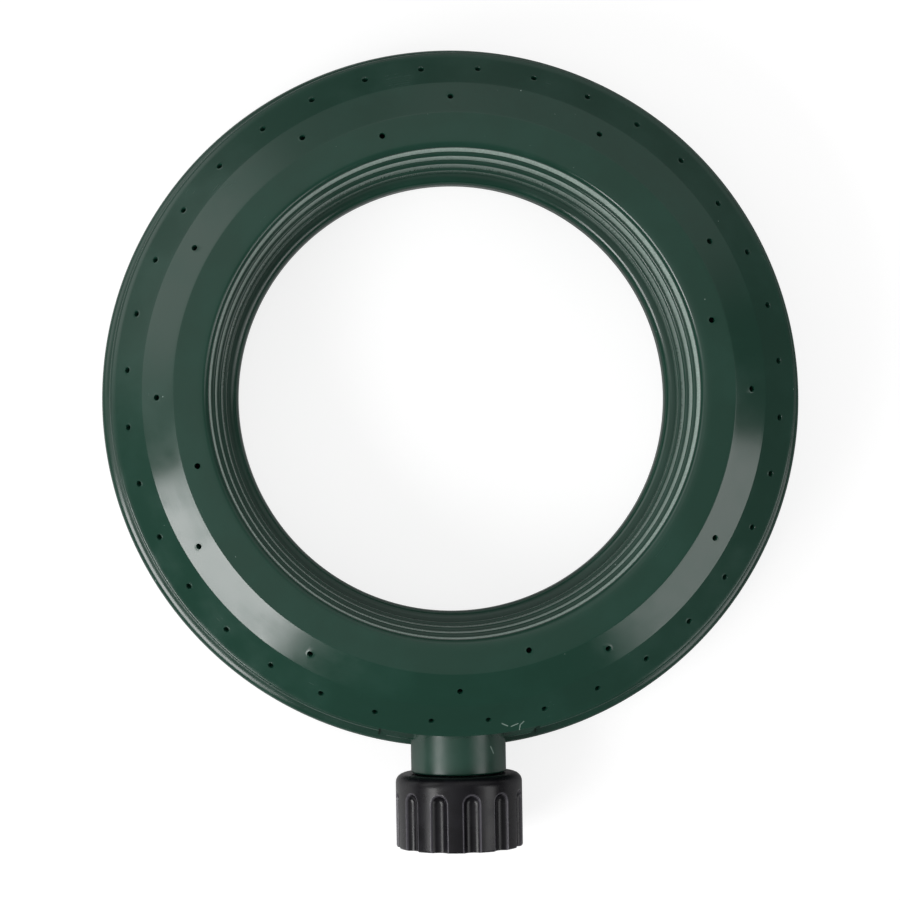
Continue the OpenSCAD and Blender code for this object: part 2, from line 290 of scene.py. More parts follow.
# Roughness where polished and where handled, and what the rings add
POLISHED, HANDLED, RING_DULL = 0.14, 0.2, 0.12
# What the neck's plainer mould adds, and where along Y it sets in
NECK_DULL, NECK_FROM, NECK_TO = 0.14, -93, -97


def millimetres(tree):
    """Socket with the place on the object in millimetres."""
    place = put(tree, "TexCoord").outputs["Object"]
    return put(tree, "VectorMath", {0: place, "Scale": 1 / MM}, operation="SCALE").outputs[0]


green = bpy.data.materials.new("moulded_green_polypropylene")
tree = new_tree(green)
place = millimetres(tree)
level = put(tree, "VectorMath", {0: place, 1: (1, 1, 0)}, operation="MULTIPLY")
radius = put(tree, "VectorMath", {0: level}, operation="LENGTH").outputs["Value"]
_, forward, height = put(tree, "SeparateXYZ", {0: place}).outputs
on_ring = put(tree, "CombineXYZ", {"X": radius, "Y": height})
rings = put(tree, "TexNoise", {"Vector": on_ring, "Scale": 1 / RING_MARK, "Detail": 3.0}, noise_dimensions="2D")
clouds = put(tree, "TexNoise", {"Vector": place, "Scale": 1 / CLOUD, "Detail": 5.0, "Roughness": 0.6})
worn = put(tree, "MapRange", {"Value": clouds, "From Min": CLOUD_LOW, "From Max": CLOUD_HIGH})
ring_wear = put(tree, "Math", {0: rings, 1: worn}, operation="MULTIPLY")
handling = put(tree, "MapRange", {"Value": worn, "To Min": POLISHED, "To Max": HANDLED})
dull = put(tree, "Math", {0: handling, 1: put(tree, "MapRange", {"Value": ring_wear, "To Max": RING_DULL})})
neck_range = {"From Min": NECK_TO, "From Max": NECK_FROM, "To Min": NECK_DULL, "To Max": 0.0}
dull = put(tree, "Math", {0: dull, 1: put(tree, "MapRange", {"Value": forward, **neck_range})})
print("roughness from", POLISHED, "to", HANDLED, "before the rings")

# %% [markdown]
# This ring has been used a little: it has pale specks of dust, and a few scratches by the inlet. They could be
# painted on an image. Here the specks are the middles of a cell pattern, each with its own size, and a scratch is
# every place near a short straight line, so both stay sharp from any distance.

# %% Green polypropylene: specks and scratches
GREEN, HANDLED_GREEN, DUST = "#16392d", "#183d31", "#8fa39a"
# Distance between cells in mm, share of the cells' draws that gives no speck, largest speck as a share of a cell
SPECK_APART, SPECK_NONE, SPECK_SHARE = 5, 0.45, 0.042
DUST_COVER = 0.7
# Half the width of a scratch in mm, and each one as seen from above, from point to point
SCRATCH_W = 0.13
SCRATCHES = [
    ((11.7, -91.7, 0), (13.3, -92.4, 0)),
    ((14.3, -92.6, 0), (16.2, -91.8, 0)),
    ((17.8, -91.2, 0), (16.8, -92.2, 0)),
    ((16.8, -92.2, 0), (16.6, -94.0, 0)),
    ((8.7, -98.5, 0), (9.5, -100.5, 0)),
]


def off_line(tree, place, start, end):
    """Socket with the distance from a straight line between two points."""
    way = Vector(end) - Vector(start)
    off = put(tree, "VectorMath", {0: place, 1: start}, operation="SUBTRACT")
    along = put(tree, "VectorMath", {0: off, 1: way / way.length_squared}, operation="DOT_PRODUCT").outputs["Value"]
    nearest = put(tree, "VectorMath", {0: way, "Scale": put(tree, "MapRange", {"Value": along})}, operation="SCALE")
    return put(tree, "VectorMath", {0: off, 1: nearest}, operation="DISTANCE").outputs["Value"]


cells = put(tree, "TexVoronoi", {"Vector": place, "Scale": 1 / SPECK_APART}).outputs
draw = put(tree, "SeparateColor", {0: cells["Color"]})
speck_size = put(tree, "MapRange", {"Value": draw, "From Min": SPECK_NONE, "To Max": SPECK_SHARE})
pale = put(tree, "Math", {0: cells["Distance"], 1: speck_size}, operation="LESS_THAN")
for start, end in SCRATCHES:
    on_line = put(tree, "Math", {0: off_line(tree, level, start, end), 1: SCRATCH_W}, operation="LESS_THAN")
    pale = put(tree, "Math", {0: pale, 1: on_line}, operation="MAXIMUM")
dusty = put(tree, "Math", {0: pale, 1: DUST_COVER}, operation="MULTIPLY")
# The colours of a Mix node are its inputs 6 and 7 and its output 2
tint = put(tree, "Mix", {0: worn, 6: linear(GREEN), 7: linear(HANDLED_GREEN)}, data_type="RGBA").outputs[2]
colour = put(tree, "Mix", {0: dusty, 6: tint, 7: linear(DUST)}, data_type="RGBA").outputs[2]
print(len(SCRATCHES), "scratches, and specks about", SPECK_APART, "mm apart")

# %% [markdown]
# Pulling the core out of the mould drags streaks down the upright faces of the bore. Their pale colour is partly a
# painted sheen: it stands in for the bright reflection of the floor that these faces catch at a grazing angle, and it
# is strongest near the top and fades lower down. The streaks could be modelled as grooves. They are far too shallow
# to bend the outline, so they are a change of colour and gloss, kept to faces that stand upright and lie inside the
# bore.

# %% Green polypropylene: streaks and painted sheen in the bore
# Pale colour of the drag streaks, which is also a painted sheen of the floor's reflection
SCUFF_AND_SHEEN, SCUFF_ROUGHNESS = "#b9ccc3", 0.5
# Width of a streak in mm, and how many times as long it is
STREAK, STREAK_LONG = 0.4, 10
# Part of the noise that makes a streak, and how much of the pale scuff and painted sheen shows between streaks
STREAK_NOISE = {"From Min": 0.3, "From Max": 0.7, "To Min": 0.7}
# Radius that holds the bore, and the heights at which the scuff and painted sheen start and are full
BORE_R, STREAK_LOW, STREAK_TOP = 69, 14, 38
# Upright part of a face's normal at which the scuff and painted sheen start and are full
SLOPED, UPRIGHT = 0.3, 0.1

facing = put(tree, "SeparateXYZ", {0: put(tree, "NewGeometry").outputs["True Normal"]}).outputs["Z"]
facing = put(tree, "Math", {0: facing}, operation="ABSOLUTE")
upright = put(tree, "MapRange", {"Value": facing, "From Min": SLOPED, "From Max": UPRIGHT})
in_bore = put(tree, "Math", {0: radius, 1: BORE_R}, operation="LESS_THAN")
higher = put(tree, "MapRange", {"Value": height, "From Min": STREAK_LOW, "From Max": STREAK_TOP})
drag_and_sheen_mask = put(tree, "Math", {0: upright, 1: in_bore}, operation="MULTIPLY")
drag_and_sheen_mask = put(tree, "Math", {0: drag_and_sheen_mask, 1: higher}, operation="MULTIPLY")
per_streak = (1 / STREAK, 1 / STREAK, 1 / (STREAK * STREAK_LONG))
stretched = put(tree, "VectorMath", {0: place, 1: per_streak}, operation="MULTIPLY")
streaks = put(tree, "TexNoise", {"Vector": stretched, "Scale": 1.0, "Detail": 2.0})
streaks = put(tree, "MapRange", {"Value": streaks, **STREAK_NOISE})
# Where the pale colour goes: drag streaks, and a painted sheen that fades lower in the bore
streaks_and_sheen = put(tree, "Math", {0: drag_and_sheen_mask, 1: streaks}, operation="MULTIPLY")
colour = put(tree, "Mix", {0: streaks_and_sheen, 6: colour, 7: linear(SCUFF_AND_SHEEN)}, data_type="RGBA").outputs[2]
dull = put(tree, "Mix", {0: streaks_and_sheen, 2: dull, 3: SCUFF_ROUGHNESS})
print("streaks", STREAK, "mm wide between", STREAK_LOW, "and", STREAK_TOP, "mm up")

# %% [markdown]
# A thick moulding sinks a little as it cools, so its reflections wander. A displaced mesh could show that too, but a
# wide shallow bump costs nothing. The polishing rings are a second, far finer one on top of it.

# %% Green polypropylene: surface
POLYPROPYLENE_IOR = 1.49
# Width and depth of the sinks, and depth of the polishing rings, in mm
SINK, SINK_DEPTH, RING_DEPTH = 30, 0.06, 0.0012

sinks = put(tree, "TexNoise", {"Vector": place, "Scale": 1 / SINK, "Detail": 1.0})
sunk = put(tree, "Bump", {"Strength": 1.0, "Distance": SINK_DEPTH * MM, "Height": sinks})
fine = put(tree, "Bump", {"Strength": 1.0, "Distance": RING_DEPTH * MM, "Height": ring_wear, "Normal": sunk})
surface = {"Base Color": colour, "Roughness": dull, "IOR": POLYPROPYLENE_IOR, "Normal": fine}
put(tree, "OutputMaterial", {"Surface": put(tree, "BsdfPrincipled", surface)})
print(green.name, "with", len(tree.nodes), "nodes")

# %% [markdown]
# ## Black nut and rubber washer
#
# The nut is a black nylon moulding whose steel was spark eroded, which leaves a fine even grain and a satin sheen.
# Its flute edges carry a painted highlight: a paler colour in place of the light that their rounded edges catch. The
# washer is EPDM rubber cut from sheet: darker, almost without gloss, with a slight grain. Each could have a graph of
# its own, but both need only noise, so one function makes the two.

# %% Black nylon and rubber
# Paler colour along the nut's flute edges, a painted highlight
NUT_EDGE_HIGHLIGHT = "#5c5a60"
# Size in mm of the patches that handling leaves, and the part of their noise over which polish turns to bloom
HANDLING, PATCH_LOW, PATCH_HIGH = 6, 0.4, 0.7
# Roughness that is lost where polished, and gained where bloomed
SMOOTHER, ROUGHER = 0.04, 0.05


def grained(name, dark, light, grain, depth, roughness, ior, shine):
    """Black material with a grain of that width and depth in mm, handled patches and a painted highlight on edges."""
    material = bpy.data.materials.new(name)
    tree = new_tree(material)
    place = millimetres(tree)
    grains = put(tree, "TexNoise", {"Vector": place, "Scale": 1 / grain, "Detail": 2.0})
    patches = put(tree, "TexNoise", {"Vector": place, "Scale": 1 / HANDLING, "Detail": 4.0})
    bloom = put(tree, "MapRange", {"Value": patches, "From Min": PATCH_LOW, "From Max": PATCH_HIGH})
    colour = put(tree, "Mix", {0: bloom, 6: linear(dark), 7: linear(light)}, data_type="RGBA").outputs[2]
    # Only the nut's points carry this number, which places the painted edge highlight; on the washer it reads as zero
    painted_edge_highlight = put(tree, "Attribute", attribute_name="painted_edge_highlight").outputs["Fac"]
    colour = put(tree, "Mix", {0: painted_edge_highlight, 6: colour, 7: linear(NUT_EDGE_HIGHLIGHT)}, data_type="RGBA").outputs[2]
    gloss = put(tree, "MapRange", {"Value": bloom, "To Min": roughness - SMOOTHER, "To Max": roughness + ROUGHER})
    bump = put(tree, "Bump", {"Strength": 1.0, "Distance": depth * MM, "Height": grains})
    surface = {"Base Color": colour, "Roughness": gloss, "IOR": ior, "Specular IOR Level": shine, "Normal": bump}
    put(tree, "OutputMaterial", {"Surface": put(tree, "BsdfPrincipled", surface)})
    return material


# The nut's real grain is about 0.1 mm, and is drawn coarser to show
black = grained("spark_textured_black_nylon", "#0b0a0e", "#121116", grain=0.35, depth=0.004, roughness=0.28,
                ior=1.53, shine=0.25)
rubber = grained("cut_sheet_EPDM_rubber", "#151515", "#1d1d1c", grain=0.5, depth=0.02, roughness=0.75,
                 ior=1.52, shine=0.4)
print(black.name, "and", rubber.name)

# %% [markdown]
# ## Turning
#
# Nearly everything here is a turned form: an outline of radius and height carried round an axis. Blender's Screw
# modifier could do it, but a few lines of array arithmetic also let the radius change with the angle, which the
# nut's flutes and thread need. Corners are drawn as arcs, and long straight runs are split so that smooth shading
# stays flat on a facet and bends only near its edges.

# %% Outlines
LONGEST_RUN = 1.5
ARC_STEPS = 6


def round_corner(before, at, after, rounding):
    """Points of an arc of that radius in the corner of two straight runs."""
    to_before, to_after = (before - at).normalized(), (after - at).normalized()
    half = to_before.angle(to_after) / 2
    centre = at + (to_before + to_after).normalized() * rounding / math.sin(half)
    first = at + to_before * rounding / math.tan(half) - centre
    last = at + to_after * rounding / math.tan(half) - centre
    start = math.atan2(first.y, first.x)
    sweep = (math.atan2(last.y, last.x) - start + math.pi) % math.tau - math.pi
    angles = np.linspace(start, start + sweep, ARC_STEPS + 1)
    return [centre + rounding * Vector((math.cos(a), math.sin(a))) for a in angles]


def arc(centre, across, up, start, end, steps=12):
    """Outline corners along part of an ellipse, from one angle to another in degrees."""
    angles = np.radians(np.linspace(start, end, steps + 1))
    return [(centre[0] + across * math.cos(a), centre[1] + up * math.sin(a), 0) for a in angles]


def outline(corners, longest=LONGEST_RUN):
    """Closed outline from corners (radius, height, rounding), with long runs split."""
    at = [Vector(c[:2]) for c in corners]
    points = []
    for i, (_, _, rounding) in enumerate(corners):
        after = at[(i + 1) % len(at)]
        points += round_corner(at[i - 1], at[i], after, rounding) if rounding else [at[i]]
    split = []
    for a, b in zip(points, points[1:] + points[:1]):
        count = max(1, math.ceil((b - a).length / longest))
        split += [a.lerp(b, k / count) for k in range(count)]
    return np.array(split)


print("runs over", LONGEST_RUN, "mm are split, and a rounded corner has", ARC_STEPS, "steps")

# %% Turning
COLUMNS = 360


def new_piece(name, vertices, faces):
    """Mesh object in the frame, from places in millimetres."""
    mesh = bpy.data.meshes.new(name)
    mesh.from_pydata((np.array(vertices) * MM).tolist(), [], faces)
    piece = bpy.data.objects.new(name, mesh)
    bpy.context.scene.collection.objects.link(piece)
    return piece


def turned(name, profile, angles=COLUMNS, shape=None, places=(Matrix(),)):
    """Closed outline carried round the Z axis of each place, at so many even angles or at a list of them.

    The shape function may change the radius with the angle.
    """
    x, y = profile.T
    if np.sum(x * np.roll(y, -1) - np.roll(x, -1) * y) < 0:
        profile = profile[::-1]
    angle = np.array(angles) if np.ndim(angles) else np.arange(angles) * math.tau / angles
    angle, rows, columns = angle[:, None], len(profile), len(angle)
    radius, along = (np.repeat(column[None, :], columns, 0) for column in profile.T)
    if shape:
        radius = shape(angle, radius, along)
    local = np.stack([radius * np.cos(angle), radius * np.sin(angle), along, np.ones_like(along)], -1).reshape(-1, 4)
    i, j = np.meshgrid(np.arange(columns), np.arange(rows), indexing="ij")
    after_i, after_j = (i + 1) % columns, (j + 1) % rows
    quads = np.stack([i * rows + j, after_i * rows + j, after_i * rows + after_j, i * rows + after_j], -1)
    vertices = np.concatenate([(local @ np.array(place).T)[:, :3] for place in places])
    faces = np.concatenate([quads.reshape(-1, 4) + k * len(local) for k in range(len(places))])
    return new_piece(name, vertices, faces.tolist())


# Places what is turned round Z onto the neck's axis, which runs along -Y
ALONG_NECK = Matrix.Translation((0, 0, neck_z)) @ Matrix.Rotation(math.pi / 2, 4, "X")
print("outlines are turned in", COLUMNS, "columns")

# %% [markdown]
# ## Cutting and joining
#
# Holes and notches are cut with Boolean modifiers, as a drill would. Modelling each hole into the quads by hand keeps
# a tidier mesh, but with one degree to a column the cut faces are so small that the shading stays clean. Each result
# is applied at once, so what rides on the frame is a plain mesh.

# %% Booleans
# Points that lie this close together, in metres, are one
TOGETHER = 1e-7
# How far a cutting tool reaches past what it cuts, in mm
PAST = 1


def closed_ends(piece):
    """Joins the points that lie together on the axis of a solid tool."""
    form = bmesh.new()
    form.from_mesh(piece.data)
    bmesh.ops.remove_doubles(form, verts=form.verts, dist=TOGETHER)
    bmesh.ops.delete(form, geom=[e for e in form.edges if not e.link_faces], context="EDGES")
    form.to_mesh(piece.data)
    form.free()
    return piece


def neck_rod(name, radius, start, end):
    """Solid rod along the neck's axis, to cut with."""
    profile = np.array([(0, start), (radius, start), (radius, end), (0, end)])
    return closed_ends(turned(name, profile, places=[ALONG_NECK]))


def combine(piece, tool, operation):
    """Applies one Boolean to a piece and removes the tool."""
    step = piece.modifiers.new(operation, "BOOLEAN")
    step.object, step.operation, step.solver = tool, operation, "MANIFOLD"
    graph = bpy.context.evaluated_depsgraph_get()
    piece.data = bpy.data.meshes.new_from_object(piece.evaluated_get(graph))
    piece.modifiers.clear()
    bpy.data.objects.remove(tool)
    return piece


def prism(name, corners, low, high):
    """Upright block over a plan outline."""
    n = len(corners)
    vertices = [(x, y, z) for z in (low, high) for x, y in corners]
    sides = [[i, (i + 1) % n, n + (i + 1) % n, n + i] for i in range(n)]
    return new_piece(name, vertices, [list(reversed(range(n))), list(range(n, 2 * n))] + sides)


print("tools reach", PAST, "mm past what they cut")

# %% Shading and riding
SHARP = 35


def dress(piece, material, body, node):
    """Shades a finished piece, gives it its material and lets it stand for its CAD node."""
    piece.data.materials.clear()
    piece.data.materials.append(material)
    piece.data.shade_smooth()
    piece.data.set_sharp_from_angle(angle=math.radians(SHARP))
    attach(piece, body)
    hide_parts(node)
    print(piece.name, len(piece.data.polygons), "faces")


print("edges over", SHARP, "degrees stay sharp")

# %% [markdown]
# ## Spray shell
#
# The upper moulding has three conical facets, an outer one, a bevel and a top, and a bore wall that goes down in
# two small steps. The base's edge below it makes the last one. It could be modelled facet by facet; as one outline it
# is a list of edges, from the rim inward, and each edge is a small arc that catches the light.

# %% Spray shell: outline
RIM_H = 0.7
# Narrow land where the outer facet ends at the rim
LAND_W, LAND_H = 0.18, 0.07
# Width and rise of each facet from the rim inward
FACETS = [(8.9, 6.3), (8.85, 4.1), (9.8, 0.4)]
FACET_ROUND, TOP_ROUND, RIM_ROUND = 1, 2, 0.08
STEP_N = 2
FIRST_STEP_H, STEP_H = 8.05, 7.1
TREAD_W, RISER_LEAN = 1.2, 0.1
NOSE_ROUND, ROOT_ROUND = 0.9, 0.2
WALL = 2.3
SKIRT_T = 1.9
SKIRT_GAP = 1.7
WELD_CLEAR = 0.1

edges = [(rim_r, seam_z + RIM_H)]
for width, rise in FACETS:
    edges.append((edges[-1][0] - width, edges[-1][1] + rise))
top_r, top_z = edges[-1]
skirt_r = rim_r - SKIRT_GAP

steps = []
for i in range(STEP_N):
    root_r, tread_z = top_r - i * (TREAD_W + RISER_LEAN) - RISER_LEAN, top_z - FIRST_STEP_H - i * STEP_H
    steps += [(root_r, tread_z, ROOT_ROUND), (root_r - TREAD_W, tread_z, NOSE_ROUND)]
foot_r, foot_z = steps[-1][0] - RISER_LEAN, steps[-1][1] - STEP_H
print("facet edges at", [(round(r, 2), round(z, 2)) for r, z in edges], "foot at", round(foot_r, 2), round(foot_z, 2))

# %% [markdown]
# The inside of the shell follows the outside at the wall's thickness. It stays out of sight, but a closed wall gives
# each spray hole a real dark depth. Two skirts hang from it and locate the shell in the base.

# %% Spray shell: turning
OUTER_SKIRT_Z = 20.9
# Width of the base's edge that shows below the last riser
SEAM_LIP_W = 0.85
# Height of the ledge inside that carries the inner skirt
LEDGE_H = 1.9


def inset(before, at, after, depth):
    """Outline corner moved to the left of the way through it."""
    a, b, c = Vector(before), Vector(at), Vector(after)
    n, m = (Vector((p.y - q.y, q.x - p.x)).normalized() for p, q in ((a, b), (b, c)))
    return (*(b + depth * (n + m) / (1 + n.dot(m))), 0)


foot = (foot_r, foot_z)
inner_seam_r = foot_r - SEAM_LIP_W
lip_skirt_r = inner_seam_r + WALL + WELD_CLEAR
facet_corners = [(*edge, rounding) for edge, rounding in zip(edges[1:], (FACET_ROUND, FACET_ROUND, TOP_ROUND))]
under_facets = [inset(a, b, c, WALL) for a, b, c in zip(edges, edges[1:], edges[2:] + [foot])]
lean = (top_r - foot_r) / (top_z - foot_z)
wall_foot_z = foot_z + 2 * LEDGE_H
wall_foot_r = under_facets[-1][0] - lean * (under_facets[-1][1] - wall_foot_z)
outer_slope = FACETS[0][1] / FACETS[0][0]
under_rim_z = edges[0][1] + (SKIRT_GAP + SKIRT_T) * outer_slope - WALL * math.hypot(1, outer_slope)
skirt_corners = [
    (lip_skirt_r, foot_z, 0), (lip_skirt_r, skirt_low, 0), (lip_skirt_r + SKIRT_T, skirt_low, 0),
    (lip_skirt_r + SKIRT_T, foot_z + LEDGE_H, 0), (wall_foot_r, wall_foot_z, 0),
]
spray_profile = outline([
    (skirt_r, OUTER_SKIRT_Z, 0), (skirt_r, seam_z, 0), (rim_r, seam_z, 0), (*edges[0], RIM_ROUND),
    (rim_r - LAND_W, edges[0][1] + LAND_H, 0), *facet_corners, *steps, (*foot, 0), *skirt_corners,
    *reversed(under_facets), (skirt_r - SKIRT_T, under_rim_z, 0), (skirt_r - SKIRT_T, OUTER_SKIRT_Z, 0),
])
spray = turned("spray_ring", spray_profile)
print("spray ring outline has", len(spray_profile), "points")

# %% [markdown]
# ## Spray holes
#
# Pins in the mould leave the holes, square to each facet, and the plastic that shrinks round a pin stands up as a
# faint lip. The lip could be painted in the material. It is modelled, because what the eye sees of it is the light
# that its little slope catches. The mouth of each hole is a small flare.

# %% Spray holes: places
# Facet, distance in from its outer edge, number of holes, turn of the first from the inlet in degrees
HOLE_CIRCLES = [(0, 4.35, 36, 5), (1, 4.15, 12, 0), (2, 3.9, 4, 15)]

hole_places = []
for facet, inward, count, first in HOLE_CIRCLES:
    (out_r, out_z), (in_r, in_z) = edges[facet], edges[facet + 1]
    share = inward / (out_r - in_r)
    at = Matrix.Translation((out_r - inward, 0, out_z + share * (in_z - out_z)))
    tilt = Matrix.Rotation(math.atan2(in_z - out_z, out_r - in_r), 4, "Y")
    for k in range(count):
        about = Matrix.Rotation(math.radians(first - 90 + k * 360 / count), 4, "Z")
        hole_places.append(about @ at @ tilt)
print(len(hole_places), "holes")

# %% Spray holes: lips and drilling
HOLE_R = 0.75
HOLE_DEEP = 4.6
FLARE, FLARE_DEEP = 0.1, 0.15
# The lip's radius, height and depth, the width of its flat top and of its outer slope
LIP_R, LIP_H, LIP_DEEP = 1.25, 0.025, 0.5
LIP_FLAT, LIP_SLOPE = 0.1, 0.15
HOLE_COLUMNS = 24

mouth_r = HOLE_R + FLARE
lip_profile = np.array([(0, -LIP_DEEP), (LIP_R, -LIP_DEEP), (LIP_R, -LIP_H / 4), (LIP_R - LIP_SLOPE, LIP_H / 2),
                        (mouth_r + LIP_FLAT, LIP_H), (0, LIP_H)])
drill_profile = np.array([(0, -HOLE_DEEP), (HOLE_R, -HOLE_DEEP), (HOLE_R, -FLARE_DEEP), (mouth_r, LIP_H),
                          (mouth_r, PAST), (0, PAST)])
lips = closed_ends(turned("lips", lip_profile, HOLE_COLUMNS, places=hole_places))
drills = closed_ends(turned("drills", drill_profile, HOLE_COLUMNS, places=hole_places))
combine(spray, lips, "UNION")
combine(spray, drills, "DIFFERENCE")
cradle_r, cradle_end = neck_r + WELD_CLEAR, ring_r + 2 * PAST
combine(spray, neck_rod("neck_cut", cradle_r, neck_start - PAST, cradle_end), "DIFFERENCE")
dress(spray, green, "ring", "spray_shell")

# %% [markdown]
# ## Base shell
#
# The lower moulding is a trough: an upright outer wall and a low bore wall that rise from a foot. The foot stands out
# past both walls in rounded shoulders, and the ground side is rounded too. The shoulders could be plain chamfers, but
# it is their curve that draws the light into one thin stripe round the ring. The wall's top edge slopes down a
# little, which shows as a second fine line beside the rim.

# %% Base shell
# Height of the foot's widest line, and how far the foot stands out of and into the ring, with each shoulder's height
WIDE_Z = 11.3
FOOT_OUT, SHOULDER_H = 4.1, 1.9
FOOT_IN, BORE_SHOULDER_H = 2.9, 2.7
FOOT_ROUND, LIP_ROUND = 8, 0.6
EDGE_DROP, EDGE_IN, EDGE_ROUND = 0.1, 0.35, 0.45
NOTCH_W, NOTCH_Z = 45, 12.4

seam_r, bore_r = ring_r - FOOT_OUT, inner_seam_r - FOOT_IN
wall_in_r, lip_in_r = seam_r - WALL, inner_seam_r + WALL
hollow_z = WIDE_Z - WALL / 2


def ground_rounds(radius):
    """Rounds at the ground on the bore side and on the outside, at that radius."""
    inner_at, outer_at = (bore_r + FOOT_ROUND, FOOT_ROUND), (ring_r - FOOT_ROUND, FOOT_ROUND)
    return arc(inner_at, radius, radius, 180, 270) + arc(outer_at, radius, radius, 270, 360)


shoulder = arc((seam_r, WIDE_Z), FOOT_OUT, SHOULDER_H, 0, 90)
bore_shoulder = arc((inner_seam_r, WIDE_Z), FOOT_IN, BORE_SHOULDER_H, 90, 180)
wall_top = [(seam_r, seam_z - EDGE_DROP, EDGE_ROUND), (rim_r - EDGE_IN, seam_z, 0), (wall_in_r, seam_z, 0)]
lip_top = [(lip_in_r, foot_z, 0), (inner_seam_r, foot_z, LIP_ROUND)]
base_profile = outline([
    *bore_shoulder, *ground_rounds(FOOT_ROUND), *shoulder, *wall_top, (wall_in_r, hollow_z, 0),
    (ring_r - WALL, hollow_z, 0), *reversed(ground_rounds(FOOT_ROUND - WALL)), (bore_r + WALL, hollow_z, 0),
    (lip_in_r, hollow_z, 0), *lip_top,
])
base = turned("base_ring", base_profile)
print("base ring outline has", len(base_profile), "points")

# %% [markdown]
# A notch in the wall and in the outer shoulder makes room for the neck's saddle, and a round cradle for its tube.
# Both are cut right through, so the neck really lies in the base.

# %% Base shell: notch and cradle
notch_back = math.sqrt(skirt_r ** 2 - NOTCH_W ** 2 / 4)
notch_front = ring_r + PAST
notch_plan = [(-NOTCH_W / 2, -notch_front), (NOTCH_W / 2, -notch_front), (NOTCH_W / 2, -notch_back),
              (-NOTCH_W / 2, -notch_back)]
combine(base, prism("notch", notch_plan, NOTCH_Z, seam_z + PAST), "DIFFERENCE")
combine(base, neck_rod("cradle", cradle_r, neck_start, cradle_end), "DIFFERENCE")
dress(base, green, "ring", "base_shell")

# %% [markdown]
# ## Inlet neck
#
# The neck is a tube that lies in the base's notch, with a saddle block that fills the notch on both sides and a
# slimmer stub behind the nut. The nut snaps over a bead at the stub's end. A cube would do for the saddle, but its
# upright face follows the ring a little inside its foot, so it is turned round the ring's axis and then trimmed.

# %% Inlet neck
NECK_WALL, NECK_ROUND = 2.5, 0.5
STUB_R, STUB_BORE_R = 9.9, 7
NECK_REACH = 6.3
BEAD_R, BEAD_T, BEAD_TAPER, BEAD_ROUND = 11.5, 2.6, 0.9, 0.2

neck_end = ring_r + NECK_REACH
bead_start = stub_end - BEAD_T
neck_corners = [
    (neck_r - NECK_WALL, neck_start, 0), (neck_r, neck_start, 0), (neck_r, neck_end, NECK_ROUND),
    (STUB_R, neck_end, 0), (STUB_R, bead_start, 0), (BEAD_R, bead_start, BEAD_ROUND),
    (BEAD_R, stub_end - BEAD_TAPER, BEAD_ROUND), (BEAD_R - BEAD_TAPER, stub_end, BEAD_ROUND),
    (STUB_BORE_R, stub_end, BEAD_ROUND), (STUB_BORE_R, neck_end - NECK_WALL, 0),
    (neck_r - NECK_WALL, neck_end - NECK_WALL, 0),
]
neck = turned("neck_tube", outline(neck_corners, longest=1), places=[ALONG_NECK])
print("neck", round(neck_end - neck_start, 1), "mm long, with a stub of", round(stub_end - neck_end, 1), "mm")

# %% [markdown]
# The saddle's blank is a whole ring with a square section. Its plan, with a chamfer at each end, is cut out of it,
# and then the tube's core, so that the two join in the tube's wall and the water way stays open.

# %% Inlet neck: saddle
SADDLE_GAP, SADDLE_SETBACK, SADDLE_RISE, SADDLE_CHAMFER = 0.6, 2.4, 4.2, 1.2

saddle_top, saddle_low = neck_z + SADDLE_RISE, NOTCH_Z + WELD_CLEAR
saddle_r = ring_r - SADDLE_SETBACK
saddle = turned("saddle", outline([(wall_in_r, saddle_low, 0), (saddle_r, saddle_low, EDGE_ROUND),
                                   (saddle_r, saddle_top, EDGE_ROUND), (wall_in_r, saddle_top, 0)]))
half_w = NOTCH_W / 2 - SADDLE_GAP
end_y = -math.sqrt(saddle_r ** 2 - half_w ** 2)
half_plan = [(half_w, -neck_start), (half_w, end_y + SADDLE_CHAMFER),
             (half_w - 2 * SADDLE_CHAMFER, end_y - SADDLE_CHAMFER), (half_w - 2 * SADDLE_CHAMFER, -ring_r)]
saddle_plan = [(-x, y) for x, y in half_plan] + half_plan[::-1]
combine(saddle, prism("plan", saddle_plan, 0, seam_z), "INTERSECT")
core_r = neck_r - NECK_WALL / 2
combine(saddle, neck_rod("core", core_r, neck_start - PAST, neck_end), "DIFFERENCE")
combine(neck, saddle, "UNION")
dress(neck, green, "ring", "inlet_neck")

# %% [markdown]
# ## Hose nut
#
# The nut is one turned outline whose radius also changes with the angle. Twelve round-ended flutes press in from
# outside, and the hose thread winds up the bore. Cutting them as Booleans would leave hard creases; worked out as a
# height over the turned surface, the flutes blend into the nut with a rounded edge.

# %% Hose nut: flutes and thread
FLUTE_N, FLUTE_ROUND, FLUTE_DEPTH, FLUTE_START = 12, 2.65, 1.8, 4.6
FLUTE_TURN = 9.5
FLUTE_EDGE = 0.2
# Hose thread: 11.5 turns to the inch, with the steepness of its flanks and the flat at its crest
THREAD_PITCH = 25.4 / 11.5
THREAD_DEPTH, THREAD_FLANK, THREAD_FLAT = 1.2, 1.5, 0.2
WASHER_CLEAR, MOUTH_CHAMFER = 0.15, 1.3

thread_start, thread_end = washer_end + WASHER_CLEAR, nut_end - MOUTH_CHAMFER
flute_axis_r = nut_r - FLUTE_DEPTH + FLUTE_ROUND
flute_top = nut_start + FLUTE_START + FLUTE_ROUND
apart = math.tau / FLUTE_N
first_flute = math.radians(90 - FLUTE_TURN)


def off_flute(angle):
    """Angle from the middle of the nearest flute."""
    return (angle - first_flute + apart / 2) % apart - apart / 2


